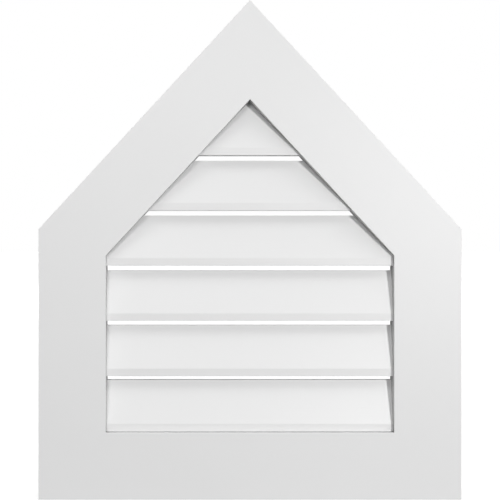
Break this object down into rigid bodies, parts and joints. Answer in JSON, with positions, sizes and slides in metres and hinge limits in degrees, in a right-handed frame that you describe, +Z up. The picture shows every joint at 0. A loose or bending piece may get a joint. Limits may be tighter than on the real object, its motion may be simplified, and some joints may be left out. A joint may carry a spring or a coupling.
{
  "type": "gable vent",
  "caption": "Peaked gable vent with a flat mitred board frame around fixed sloping louvers, open to the air through narrow slits, made to be fixed flat on a gable wall.",
  "frame": {"origin": "middle of the frame's bottom edge, on the wall plane at the back of the frame", "axes": "+Z up, +X to the right seen from the front, +Y into the wall; the vent faces -Y"},
  "size_m": [0.5588, 0.0254, 0.6604],
  "materials": {
    "frame_pvc": "smooth white cellular PVC trim board, satin matt",
    "louver_pvc": "smooth white cellular PVC louver stock, satin matt"
  },
  "bodies": {
    "root": {"sill": "frame_pvc", "left_jamb": "frame_pvc", "right_jamb": "frame_pvc", "left_rake": "frame_pvc", "right_rake": "frame_pvc", "louver_1": "louver_pvc", "louver_2": "louver_pvc", "louver_3": "louver_pvc", "louver_4": "louver_pvc", "louver_5": "louver_pvc", "peak_louver": "louver_pvc"}
  },
  "joints": []
}
